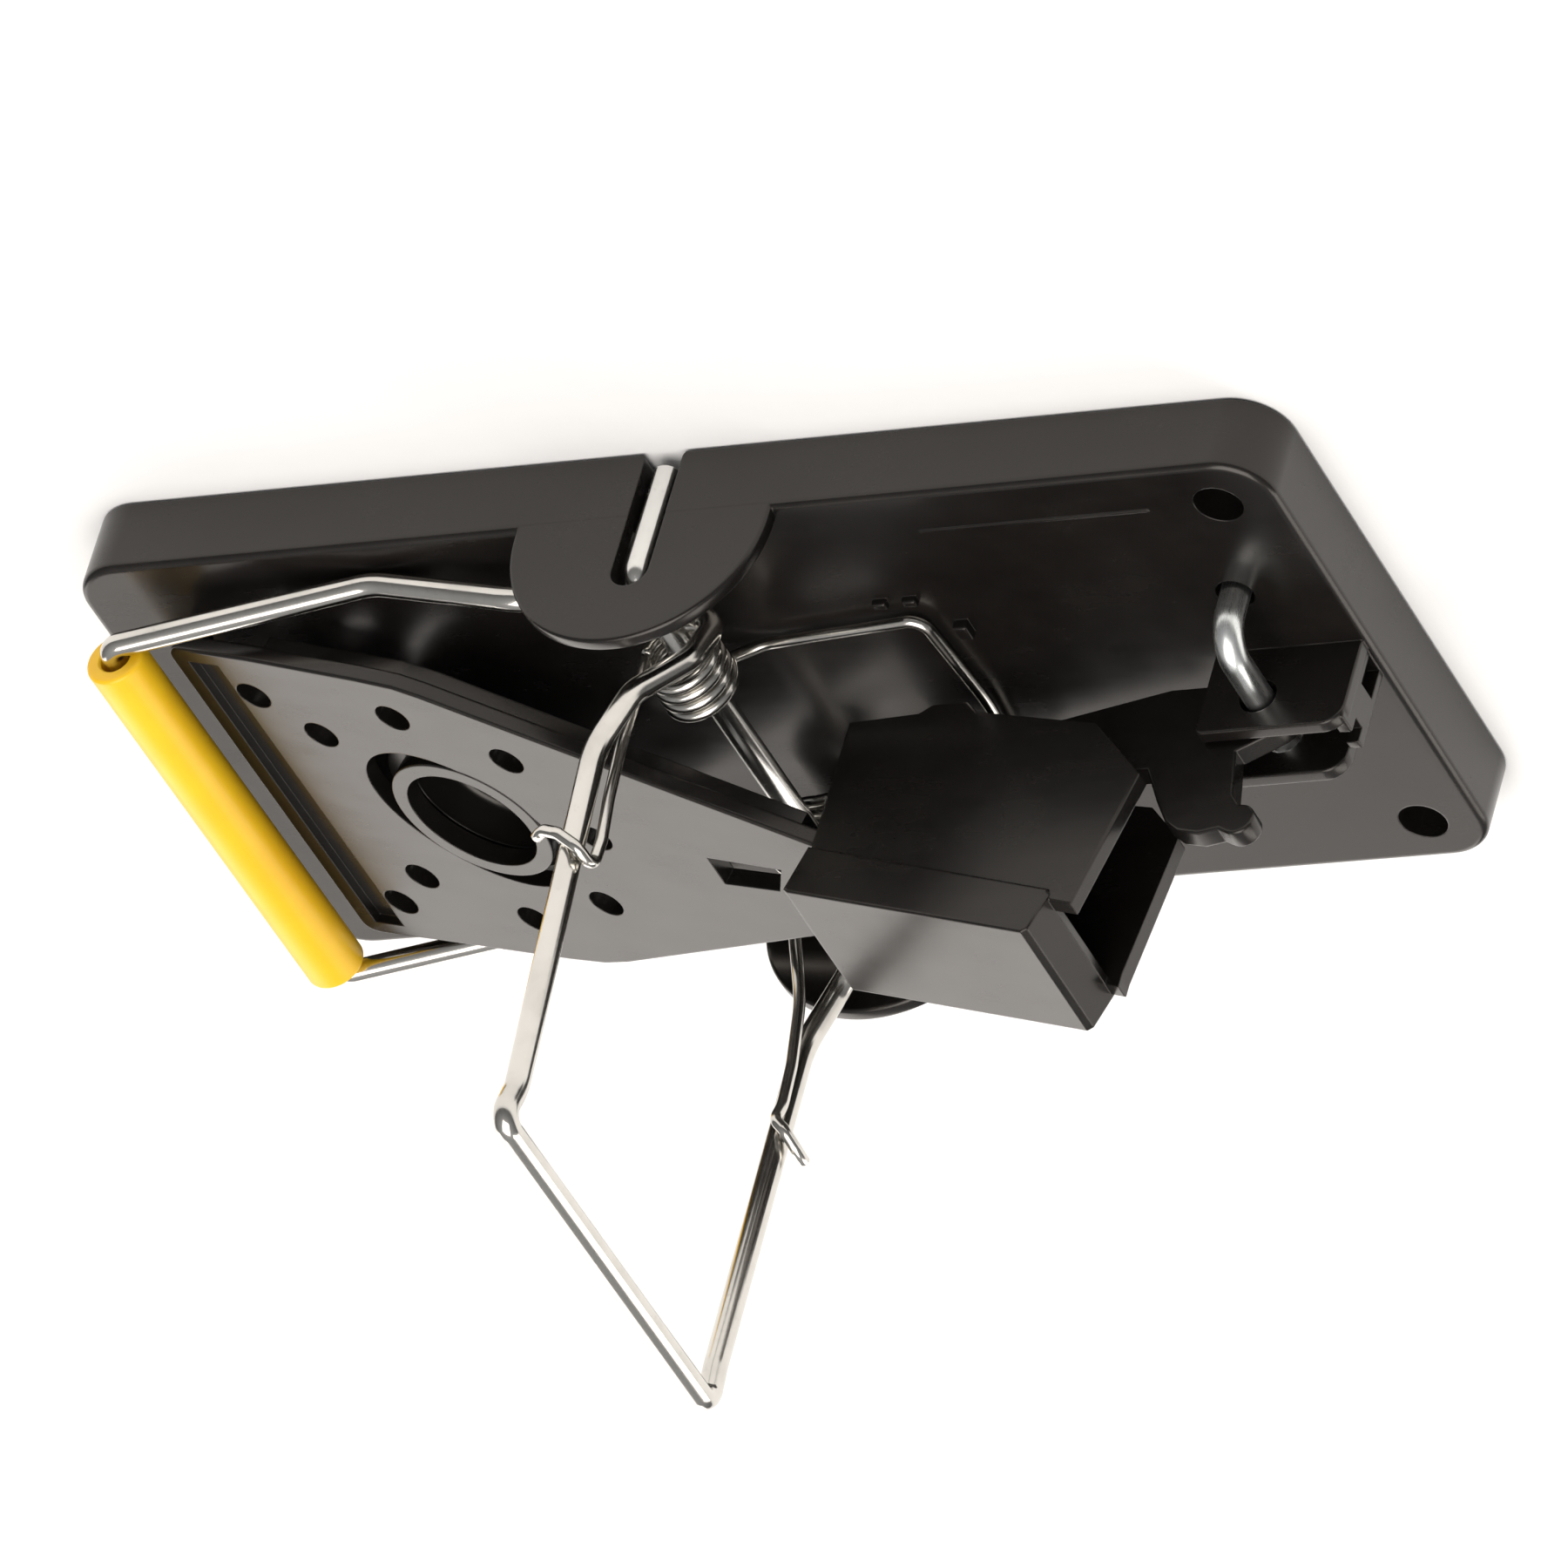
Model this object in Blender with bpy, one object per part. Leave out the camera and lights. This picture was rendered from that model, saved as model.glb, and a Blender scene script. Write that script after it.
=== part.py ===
"""Snap mouse trap: moulded base, bent-wire striker, torsion spring and treadle.

Axes: +X runs from the hinge end to the kill-bar end, +Y across, +Z up.
The base stands on z = 0 and is centred on the origin.  Lengths are written in
millimetres and turned into metres when a mesh is made.
"""
import math

import bmesh
import bpy
from mathutils import Matrix, Vector

MM = 0.001

# base
BASE_HALF_X = 50.5
BASE_HALF_Y = 23.5
BASE_CORNER_R = 4.2
DECK_TOP = 6.5
DECK_UNDER = 3.6
EDGE_ROUND = 0.6
SKIRT = 1.6
NAIL_HOLE_X = -45.6
NAIL_HOLE_Y = 19.1
NAIL_HOLE_R = 1.9

# ears that carry the axle
EAR_R = 10.8
EAR_X = 0.45
EAR_Z = 7.1
EAR_THICK = 1.3
EAR_RECESS = 0.03
SLOT_HALF = 1.6
SLOT_TOP = 12.75
SLOT_MOUTH = 2.4
SLOT_INNER_Y = 21.2

# axle and hinge pin
AXLE_X = 0.2
AXLE_Z = 11.4
AXLE_R = 1.05
AXLE_BEND_Y = 22.35
AXLE_TIP_Z = 1.1
PIN_X = -42.5
PIN_Z = 11.0
PIN_R = 1.15
PIN_HOLE_R = 1.5
PIN_FOOT = (-42.4, -8.9)
PIN_END_Y = 4.7
PIN_TIP_Z = 4.6

# hinge bracket on the base
BRACKET_NEAR = (-2.4, -1.2)
BRACKET_FAR = (2.5, 3.7)
NEAR_WALL_X = (-50.0, -37.9)
NEAR_WALL_TOP = 14.1
FAR_WALL_X = (-48.2, -38.6)
FAR_WALL_TOP = 14.6
BRACKET_CORNER_R = 1.8

# treadle, measured along its own sloping top plane
PLATE_TILT = math.radians(13.54)
PLATE_ORIGIN_Z = 20.33
PLATE_THICK = 1.5
PLATE_FRONT = 44.8
PLATE_HALF_FRONT = 17.8
RIB_DROP = 3.2
RIB_THICK = 1.1
RIB_INSET = 1.2
RIB_FRONT = 38.4
CUP_U = 24.9
MOUTH_R = 5.45
MOUTH_RING_R = 6.8
MOUTH_PROUD = 0.06
OVAL_U = 25.2
OVAL_LONG = 8.8
OVAL_SHORT = 6.6
RING_U = 25.7
RING_R = 12.5
RING_HOLE_R = 1.4
CHANNEL_U = (40.4, 43.2)
CHANNEL_HALF = 16.3
CHANNEL_DEEP = 0.8
CHANNEL_HOLE = (38.8, 12.9)

# bait cup hung under the mouth ring
CUP_TOP = -1.8
CUP_FLANGE_R = 8.1
CUP_FLANGE = 0.8
CUP_OUTER = 6.3
CUP_INNER = 5.7
CUP_DEPTH = 6.0
CUP_FLOOR = 0.9

# trigger housing that stands on the rear of the treadle
HOUSE_NEAR = -3.4
HOUSE_FAR = 8.4
HOUSE_WALL = 1.4
HOUSE_PROUD = 0.25

# hinge arm and catch horn
ARM_Y = (-0.9, 0.9)
BOSS_R = 2.6
CATCH_X = -42.6
CATCH_Z = 21.2
CATCH_R = 1.35

# striker wire and its sleeve
WIRE_R = 0.95
BAR_X = 46.5
BAR_Z = 11.7
ARM_HALF = 20.5
SLEEVE_R = 2.4
SLEEVE_BORE = 1.25
SLEEVE_HALF = 19.3

# double torsion spring
SPRING_R = 0.475
COIL_R = 2.75
COIL_X = 1.0
COIL_Z = 11.1
COIL_IN_Y = 8.6
COIL_PITCH = 1.1
COIL_TURNS = 4.25
COIL_STEPS = 14


def clear_scene():
    for item in list(bpy.data.objects):
        bpy.data.objects.remove(item, do_unlink=True)


def make_material(name, colour, roughness, metallic):
    mat = bpy.data.materials.new(name)
    mat.use_nodes = True
    shader = mat.node_tree.nodes["Principled BSDF"]
    shader.inputs["Base Color"].default_value = (*colour, 1.0)
    shader.inputs["Roughness"].default_value = roughness
    shader.inputs["Metallic"].default_value = metallic
    mat.diffuse_color = (*colour, 1.0)
    return mat


def mesh_object(name, verts, faces):
    """A named object from points in millimetres, normals turned outward."""
    bm = bmesh.new()
    made = [bm.verts.new(Vector(v) * MM) for v in verts]
    for face in faces:
        bm.faces.new([made[i] for i in face])
    bmesh.ops.recalc_face_normals(bm, faces=bm.faces)
    mesh = bpy.data.meshes.new(name)
    bm.to_mesh(mesh)
    bm.free()
    item = bpy.data.objects.new(name, mesh)
    bpy.context.scene.collection.objects.link(item)
    return item


def loft(name, rings):
    """Join rings of equal length with side faces and close both ends."""
    count = len(rings[0])
    verts = [p for ring in rings for p in ring]
    faces = [list(range(count))]
    for k in range(len(rings) - 1):
        low = k * count
        for i in range(count):
            j = (i + 1) % count
            faces.append([low + i, low + j, low + count + j, low + count + i])
    faces.append([len(verts) - count + i for i in range(count)])
    return mesh_object(name, verts, faces)


def arc(cx, cy, radius, start, stop, steps):
    """Points on an arc, angles in degrees, both ends included."""
    out = []
    for k in range(steps + 1):
        a = math.radians(start + (stop - start) * k / steps)
        out.append((cx + radius * math.cos(a), cy + radius * math.sin(a)))
    return out


def rounded_rect(x0, x1, y0, y1, radius, steps=5):
    corners = [(x1, y1, 0), (x0, y1, 90), (x0, y0, 180), (x1, y0, 270)]
    out = []
    for x, y, start in corners:
        cx = x - radius if x == x1 else x + radius
        cy = y - radius if y == y1 else y + radius
        out += arc(cx, cy, radius, start, start + 90, steps)
    return out


def prism_z(name, outline, low, high):
    return loft(name, [[(x, y, low) for x, y in outline], [(x, y, high) for x, y in outline]])


def prism_y(name, outline, low, high):
    """Extrude an outline given as (x, z) between two y positions."""
    return loft(name, [[(x, low, z) for x, z in outline], [(x, high, z) for x, z in outline]])


def plate_point(u, v, w):
    """A point given along the treadle's slope, across it and above its top plane."""
    x = u * math.cos(PLATE_TILT) + w * math.sin(PLATE_TILT)
    z = PLATE_ORIGIN_Z - u * math.sin(PLATE_TILT) + w * math.cos(PLATE_TILT)
    return (x, v, z)


def prism_plate(name, outline, low, high):
    rings = [[plate_point(u, v, w) for u, v in outline] for w in (low, high)]
    return loft(name, rings)


def inset(outline, distance):
    """Move every side of a convex outline inward by the same distance."""
    count = len(outline)
    area = sum(
        outline[i][0] * outline[(i + 1) % count][1] - outline[(i + 1) % count][0] * outline[i][1]
        for i in range(count)
    )
    side = 1.0 if area > 0 else -1.0
    lines = []
    for i in range(count):
        p = Vector(outline[i])
        q = Vector(outline[(i + 1) % count])
        along = (q - p).normalized()
        shift = Vector((-along.y, along.x)) * side * distance
        lines.append((p + shift, along))
    out = []
    for i in range(count):
        p, d = lines[i - 1]
        q, e = lines[i]
        cross = d.x * e.y - d.y * e.x
        reach = ((q - p).x * e.y - (q - p).y * e.x) / cross
        out.append(tuple(p + d * reach))
    return out


def bend_path(points, radii, steps=4):
    """Replace the inner corners of a polyline by arcs of the given radii."""
    pts = [Vector(p) for p in points]
    out = [pts[0]]
    for i in range(1, len(pts) - 1):
        before = (pts[i - 1] - pts[i]).normalized()
        after = (pts[i + 1] - pts[i]).normalized()
        half = before.angle(after) / 2.0
        room = min((pts[i - 1] - pts[i]).length, (pts[i + 1] - pts[i]).length) * 0.48
        reach = min(radii[i - 1] / math.tan(half), room)
        radius = reach * math.tan(half)
        centre = pts[i] + (before + after).normalized() * (radius / math.sin(half))
        first = pts[i] + before * reach - centre
        last = pts[i] + after * reach - centre
        turn = first.angle(last)
        for k in range(steps + 1):
            t = k / steps
            spread = math.sin(turn)
            spot = first * (math.sin((1 - t) * turn) / spread) + last * (math.sin(t * turn) / spread)
            out.append(centre + spot)
    out.append(pts[-1])
    return out


def wire(name, path, radius, sides=10):
    """Sweep a round section along a path, keeping it free of twist."""
    path = [Vector(p) for p in path]
    tangents = []
    for i in range(len(path)):
        a = path[max(i - 1, 0)]
        b = path[min(i + 1, len(path) - 1)]
        tangents.append((b - a).normalized())
    across = tangents[0].orthogonal().normalized()
    rings = []
    for i, point in enumerate(path):
        if i:
            turn = tangents[i - 1].rotation_difference(tangents[i])
            across = turn @ across
        across = (across - tangents[i] * across.dot(tangents[i])).normalized()
        other = tangents[i].cross(across)
        ring = []
        for k in range(sides):
            a = 2.0 * math.pi * k / sides
            ring.append(tuple(point + (across * math.cos(a) + other * math.sin(a)) * radius))
        rings.append(ring)
    return loft(name, rings)


def combine(target, tool, operation):
    """Apply one exact Boolean and delete the tool."""
    mod = target.modifiers.new("cut", "BOOLEAN")
    mod.operation = operation
    mod.solver = "EXACT"
    mod.object = tool
    bpy.context.view_layer.update()
    graph = bpy.context.evaluated_depsgraph_get()
    mesh = bpy.data.meshes.new_from_object(target.evaluated_get(graph))
    target.modifiers.clear()
    target.data = mesh
    bpy.data.objects.remove(tool, do_unlink=True)
    return target


def add(target, tool):
    return combine(target, tool, "UNION")


def cut(target, tool):
    return combine(target, tool, "DIFFERENCE")


def finish(item, mat, pivot, smooth_angle):
    """Give the object its material, its origin on the pivot and its shading."""
    item.data.name = item.name
    item.data.materials.clear()
    item.data.materials.append(mat)
    for polygon in item.data.polygons:
        polygon.material_index = 0
    spot = Vector(pivot) * MM
    item.data.transform(Matrix.Translation(-spot))
    item.location = spot
    bm = bmesh.new()
    bm.from_mesh(item.data)
    bmesh.ops.recalc_face_normals(bm, faces=bm.faces)
    bm.to_mesh(item.data)
    bm.free()
    item.data.shade_smooth()
    item.data.set_sharp_from_angle(angle=math.radians(smooth_angle))
    return item


def box(name, x, y, z):
    return prism_z(name, [(x[0], y[0]), (x[1], y[0]), (x[1], y[1]), (x[0], y[1])], z[0], z[1])


def base_slab():
    """Deck and skirts with a small rounded top edge, hollow underneath."""
    def ring(shrink, z):
        radius = BASE_CORNER_R - shrink
        x = BASE_HALF_X - shrink
        y = BASE_HALF_Y - shrink
        return [(px, py, z) for px, py in rounded_rect(-x, x, -y, y, radius)]

    half_way = EDGE_ROUND * (1.0 - math.sqrt(0.5))
    body = loft("base", [
        ring(0.0, 0.0),
        ring(0.0, DECK_TOP - EDGE_ROUND),
        ring(half_way, DECK_TOP - half_way),
        ring(EDGE_ROUND, DECK_TOP),
    ])
    x = BASE_HALF_X - SKIRT
    y = BASE_HALF_Y - SKIRT
    hollow = rounded_rect(-x, x, -y, y, BASE_CORNER_R - SKIRT, 3)
    return cut(body, prism_z("hollow", hollow, -1.0, DECK_UNDER))


def add_ear(body, side):
    """Half-round ear almost flush with the side wall, with its open-ended axle slot."""
    outer = side * (BASE_HALF_Y - EAR_RECESS)
    inner = side * (BASE_HALF_Y - EAR_THICK)
    outline = arc(EAR_X, EAR_Z, EAR_R, 0, 180, 16)
    outline += [(EAR_X - EAR_R, 1.0), (EAR_X + EAR_R, 1.0)]
    add(body, prism_y("ear", outline, min(inner, outer), max(inner, outer)))
    slot = arc(AXLE_X, SLOT_TOP - SLOT_HALF, SLOT_HALF, 0, 180, 8)
    flare = SLOT_MOUTH - SLOT_HALF
    slot += arc(AXLE_X - SLOT_MOUTH, flare, flare, 0, -90, 3)
    slot += [(AXLE_X - SLOT_MOUTH, -1.0), (AXLE_X + SLOT_MOUTH, -1.0)]
    slot += arc(AXLE_X + SLOT_MOUTH, flare, flare, 270, 180, 3)
    low, high = sorted((side * SLOT_INNER_Y, side * (BASE_HALF_Y + 1.0)))
    cut(body, prism_y("slot", slot, low, high))


def bracket_outline(rear, front, top):
    r = BRACKET_CORNER_R
    out = arc(rear + r, top - r, r, 180, 90, 4)
    out += arc(front - 0.6, top - 0.6, 0.6, 90, 0, 2)
    out += [(front, DECK_TOP - 1.0), (rear, DECK_TOP - 1.0)]
    return out


def add_bracket(body):
    """Two upright walls for the hinge pin and the slotted wall behind them."""
    add(body, prism_y("wall", bracket_outline(*NEAR_WALL_X, NEAR_WALL_TOP), *BRACKET_NEAR))
    add(body, prism_y("wall", bracket_outline(*FAR_WALL_X, FAR_WALL_TOP), *BRACKET_FAR))
    rear = (NEAR_WALL_X[0] + 0.1, NEAR_WALL_X[0] + 1.2)
    add(body, box("rear", rear, (BRACKET_NEAR[0] + 0.3, 1.7), (DECK_TOP - 0.9, 13.4)))
    through = (rear[0] - 1.0, rear[1] + 1.0)
    cut(body, box("rear_slot", through, (-0.8, 1.1), (DECK_TOP + 0.1, 9.3)))
    cut(body, box("rear_notch", through, (-0.3, 0.9), (12.1, 14.0)))
    hole = arc(PIN_X, PIN_Z, PIN_HOLE_R, 0, 360 - 22.5, 15)
    cut(body, prism_y("pin_hole", hole, BRACKET_NEAR[0] - 1.0, BRACKET_FAR[1] + 1.0))


def add_spring_lugs(body):
    """Low moulded blocks that locate the corners of the spring's ground loop."""
    for side in (-1, 1):
        behind = sorted((side * 7.3, side * 8.8))
        add(body, box("lug", (-20.1, -19.0), behind, (DECK_TOP - 0.5, 7.4)))
        outside = sorted((side * 11.3, side * 12.0))
        for start in (-17.2, -14.7):
            add(body, box("lug", (start, start + 1.1), outside, (DECK_TOP - 0.5, 7.1)))


def make_base(mat):
    body = base_slab()
    for side in (-1, 1):
        add_ear(body, side)
    add_bracket(body)
    add_spring_lugs(body)
    for side in (-1, 1):
        hole = arc(NAIL_HOLE_X, side * NAIL_HOLE_Y, NAIL_HOLE_R, 0, 360 - 22.5, 15)
        cut(body, prism_z("nail_hole", hole, 2.0, DECK_TOP + 1.0))
    foot = arc(PIN_FOOT[0], PIN_FOOT[1], PIN_HOLE_R, 0, 360 - 22.5, 15)
    cut(body, prism_z("foot_hole", foot, 2.0, DECK_TOP + 1.0))
    return finish(body, mat, (0, 0, 0), 30)


def make_axle(mat):
    y = AXLE_BEND_Y
    corners = [
        (AXLE_X, -y, AXLE_TIP_Z), (AXLE_X, -y, AXLE_Z),
        (AXLE_X, y, AXLE_Z), (AXLE_X, y, AXLE_TIP_Z),
    ]
    body = wire("axle", bend_path(corners, [1.3, 1.3]), AXLE_R, 12)
    return finish(body, mat, (AXLE_X, 0, AXLE_Z), 40)


def make_hinge_pin(mat):
    corners = [
        (PIN_X, PIN_END_Y, PIN_Z), (PIN_X, PIN_FOOT[1], PIN_Z), (*PIN_FOOT, PIN_TIP_Z),
    ]
    body = wire("hinge_pin", bend_path(corners, [2.6], 6), PIN_R, 12)
    return finish(body, mat, (PIN_X, 0, PIN_Z), 40)


def plate_outline():
    """Plan of the treadle plate: straight front, tapering towards the housing."""
    r = 1.3
    front = PLATE_FRONT
    half = PLATE_HALF_FRONT
    near = [(-9.2, -3.2), (21.5, -15.9), (23.6, -16.6), (27.0, -17.0), (37.0, -17.7)]
    far = [(37.0, 17.7), (25.0, 17.6), (21.5, 17.4), (19.0, 16.8), (-3.2, 9.1), (-9.2, 9.1)]
    round_near = arc(front - r, -half + r, r, 270, 360, 3)
    round_far = arc(front - r, half - r, r, 0, 90, 3)
    return near + round_near + round_far + far


def rib_outline():
    return [(-7.6, -3.5), (21.5, -15.9), (24.5, -16.8), (RIB_FRONT, -17.6),
            (RIB_FRONT, 17.6), (21.5, 17.4), (-3.2, 9.1), (-7.6, 8.4)]


def make_plate():
    """Flat pedal with its stiffening rib and the two feet under its front edge."""
    body = prism_plate("treadle", plate_outline(), -PLATE_THICK, 0.0)
    outer = inset(rib_outline(), RIB_INSET)
    inner = inset(rib_outline(), RIB_INSET + RIB_THICK)
    rib = prism_plate("rib", outer, -RIB_DROP, -PLATE_THICK + 0.4)
    cut(rib, prism_plate("rib_inside", inner, -RIB_DROP - 1.0, 1.0))
    add(body, rib)
    for side in (-1, 1):
        across = sorted((side * 15.0, side * 16.6))
        add(body, box("foot", (41.4, 43.0), across, (6.85, 9.2)))
    return body


def cut_hole(body, u, v):
    hole = arc(u, v, RING_HOLE_R, 0, 330, 11)
    cut(body, prism_plate("hole", hole, -RIB_DROP - 0.5, 1.0))


def cut_plate_openings(body):
    """Oval with its bait mouth, round holes and front channel."""
    oval = []
    for k in range(32):
        a = 2.0 * math.pi * k / 32
        long_way = OVAL_LONG * math.cos(a)
        short_way = OVAL_SHORT * math.sin(a)
        diag = math.sqrt(0.5)
        oval.append((OVAL_U + (long_way + short_way) * diag, (short_way - long_way) * diag))
    cut(body, prism_plate("oval", oval, -RIB_DROP, 1.0))
    ring = arc(CUP_U, 0.0, MOUTH_RING_R, 0, 350, 35)
    add(body, prism_plate("mouth_ring", ring, -PLATE_THICK - 0.06, MOUTH_PROUD))
    mouth = arc(CUP_U, 0.0, MOUTH_R, 0, 350, 35)
    cut(body, prism_plate("mouth", mouth, -RIB_DROP - 0.3, 1.0))
    for k in range(1, 8):
        a = math.radians(45.0 * k)
        centre = (RING_U + RING_R * math.cos(a), RING_R * math.sin(a))
        cut_hole(body, *centre)
    u0, u1 = CHANNEL_U
    groove = [(u0, -CHANNEL_HALF), (u1, -CHANNEL_HALF), (u1, CHANNEL_HALF), (u0, CHANNEL_HALF)]
    cut(body, prism_plate("channel", groove, -CHANNEL_DEEP, 1.0))
    for side in (-1, 1):
        cut_hole(body, CHANNEL_HOLE[0], side * CHANNEL_HOLE[1])


def make_housing():
    """Hood with closed top and front, open behind and below."""
    walls = [
        (-8.6, 23.4), (-8.7, 10.9), (-14.5, 10.6), (-15.5, 9.9), (-18.5, 9.9), (-19.5, 10.9),
        (-30.0, 13.0), (-34.9, 18.2), (-32.2, 30.0), (-30.0, 29.4), (-28.6, 28.8),
    ]
    hood = [
        (-7.4, 26.6), (-7.8, 26.9), (-28.8, 32.5), (-29.3, 32.2), (-30.3, 29.2), (-30.1, 28.6),
        (-8.5, 22.7),
    ]
    body = prism_y("housing", walls, HOUSE_NEAR, HOUSE_FAR)
    add(body, prism_y("hood", hood, HOUSE_NEAR - HOUSE_PROUD, HOUSE_FAR + HOUSE_PROUD))
    inside = [
        (-10.0, 25.6), (-27.8, 30.6), (-28.4, 28.7), (-30.2, 28.7), (-30.45, 32.0), (-37.0, 32.0),
        (-37.0, 5.0), (-10.0, 5.0),
    ]
    cavity = prism_y("inside", inside, HOUSE_NEAR + HOUSE_WALL, HOUSE_FAR - HOUSE_WALL)
    cut(body, cavity)
    shorter = [(-38.0, 8.0), (-31.0, 8.0), (-33.0, 15.5), (-31.4, 28.6), (-31.4, 32.0), (-38.0, 32.0)]
    return cut(body, prism_y("far_wall_end", shorter, 4.0, HOUSE_FAR + 1.0))


def make_hinge_arm():
    """Web from the housing front to the pin boss, with the catch horn on top."""
    boss = arc(PIN_X, PIN_Z, BOSS_R, 270, 115, 9)
    horn = [(-40.9, 14.8), (-41.6, 18.8)]
    horn += arc(CATCH_X, CATCH_Z, CATCH_R, 280, 60, 9)
    horn += [(-41.2, 22.0), (-39.6, 22.3), (-37.8, 21.9), (-36.6, 21.0), (-35.4, 19.0), (-33.8, 15.9)]
    front = [(-9.3, 15.4), (-9.3, 11.4), (-24.0, 10.6), (-34.0, 8.4)]
    return prism_y("arm", boss + horn + front, ARM_Y[0], ARM_Y[1])


def make_treadle(mat):
    body = make_plate()
    cut_plate_openings(body)
    add(body, make_housing())
    add(body, make_hinge_arm())
    notch = [(-2.3, 3.6), (2.9, 3.7), (2.9, 0.5), (-3.9, 0.7)]
    cut(body, prism_plate("notch", notch, -2.5, 1.0))
    hole = arc(PIN_X, PIN_Z, PIN_HOLE_R, 0, 360 - 22.5, 15)
    cut(body, prism_y("arm_hole", hole, ARM_Y[0] - 1.0, ARM_Y[1] + 1.0))
    return finish(body, mat, (PIN_X, 0, PIN_Z), 30)


def make_bait_cup(mat):
    """Round cup standing square to the treadle plate."""
    sides = 28

    def ring(radius, w):
        out = []
        for k in range(sides):
            a = 2.0 * math.pi * k / sides
            out.append(plate_point(CUP_U + radius * math.cos(a), radius * math.sin(a), w))
        return out

    profile = [
        (CUP_OUTER - 0.8, -CUP_DEPTH), (CUP_OUTER, -CUP_DEPTH + 0.8), (CUP_OUTER, CUP_TOP - CUP_FLANGE),
        (CUP_FLANGE_R, CUP_TOP - CUP_FLANGE), (CUP_FLANGE_R, CUP_TOP), (CUP_INNER, CUP_TOP),
        (CUP_INNER, -CUP_DEPTH + CUP_FLOOR + 0.6), (CUP_INNER - 0.6, -CUP_DEPTH + CUP_FLOOR),
    ]
    body = loft("bait_cup", [ring(radius, w) for radius, w in profile])
    return finish(body, mat, plate_point(CUP_U, 0.0, 0.0), 35)


def striker_half(side):
    """Corner points and bend radii from the kill bar to the top of the frame."""
    shoulder = 18.3 if side < 0 else 17.5
    corners = [
        (BAR_X, 0.6, BAR_Z), (BAR_X, ARM_HALF, BAR_Z), (24.5, ARM_HALF, 7.8), (12.0, 20.0, 10.2),
        (5.5, 17.6, 9.2), (0.6, 15.4, 8.2), (-2.9, 15.3, 10.4), (-2.6, 16.6, 14.6),
        (0.3, 18.4, 18.8), (2.0, 18.5, 24.0), (0.65, 17.3, 54.6), (0.5, shoulder, 57.95),
    ]
    radii = [1.15, 6.0, 5.0, 4.0, 2.2, 2.2, 3.0, 4.0, 9.0, 5.0, 1.3]
    return [(x, side * y, z) for x, y, z in corners], radii


def make_striker(mat):
    near, radii = striker_half(-1)
    far, _ = striker_half(1)
    corners = near + far[::-1]
    body = wire("striker", bend_path(corners, radii + radii[::-1], 3), WIRE_R, 10)
    return finish(body, mat, (AXLE_X, 0, AXLE_Z), 40)


def make_sleeve(mat):
    sides = 24

    def ring(radius, y):
        out = []
        for k in range(sides):
            a = 2.0 * math.pi * k / sides
            out.append((BAR_X + radius * math.cos(a), y, BAR_Z + radius * math.sin(a)))
        return out

    end = SLEEVE_HALF
    profile = [
        (SLEEVE_BORE, -end), (SLEEVE_R - 0.3, -end), (SLEEVE_R, -end + 0.3),
        (SLEEVE_R, end - 0.3), (SLEEVE_R - 0.3, end), (SLEEVE_BORE, end),
    ]
    rings = [ring(radius, y) for radius, y in profile]
    verts = [p for r in rings for p in r]
    faces = []
    for k in range(len(rings)):
        low = k * sides
        high = ((k + 1) % len(rings)) * sides
        for i in range(sides):
            j = (i + 1) % sides
            faces.append([low + i, low + j, high + j, high + i])
    body = mesh_object("kill_bar_sleeve", verts, faces)
    return finish(body, mat, (BAR_X, 0, BAR_Z), 40)


def coil_points(side):
    """Helix from the inner end at the bottom to the outer end at the front."""
    total = int(COIL_STEPS * COIL_TURNS)
    out = []
    for k in range(total + 1):
        turn = COIL_TURNS * k / total
        a = math.radians(-90.0 + 360.0 * turn)
        y = side * (COIL_IN_Y + COIL_PITCH * turn)
        out.append(Vector((COIL_X + COIL_R * math.cos(a), y, COIL_Z + COIL_R * math.sin(a))))
    return out


def make_spring(mat):
    """Both coils and the ground loop that joins them across the deck."""
    deck = DECK_TOP + SPRING_R + 0.35
    loop = [
        (COIL_X - 0.6, -COIL_IN_Y, COIL_Z - COIL_R), (-3.4, -9.0, deck), (-17.0, -10.2, deck),
        (-17.9, 0.0, deck), (-17.0, 10.2, deck), (-3.4, 9.0, deck),
        (COIL_X - 0.6, COIL_IN_Y, COIL_Z - COIL_R),
    ]
    path = coil_points(-1)[::-1] + bend_path(loop, [4.0, 1.4, 20.0, 1.4, 4.0], 3) + coil_points(1)
    body = wire("torsion_spring", path, SPRING_R, 8)
    return finish(body, mat, (AXLE_X, 0, AXLE_Z), 50)


def leg_corners(side):
    """Leg from the coil up the inner side of the frame, then its hook round the wire."""
    leg = [(COIL_X + COIL_R, 13.3, COIL_Z + 0.35), (3.0, 14.0, 15.5), (1.7, 15.9, 21.5)]
    if side < 0:
        hook = [
            (0.75, 16.7, 27.5), (-0.1, 17.2, 31.8), (-0.3, 17.6, 34.6), (0.2, 19.5, 34.1),
            (1.9, 19.95, 33.0), (3.6, 19.5, 32.2), (4.5, 18.8, 32.3),
        ]
        radii = [9, 12, 12, 6, 0.9, 0.9, 1.5, 1.2]
    else:
        hook = [
            (1.15, 16.45, 27.3), (1.0, 16.55, 31.0), (1.25, 16.45, 32.3), (0.3, 16.8, 33.2),
            (-0.2, 18.0, 33.9), (-0.5, 19.4, 34.4),
        ]
        radii = [9, 12, 9, 4, 0.9, 0.9, 1.5]
    return [(x, side * y, z) for x, y, z in leg + hook], radii


def make_spring_leg(name, side, mat):
    """Moving end of the spring."""
    path = bend_path(*leg_corners(side), 3)
    body = wire(name, path, SPRING_R, 8)
    return finish(body, mat, (AXLE_X, 0, AXLE_Z), 50)


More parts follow.
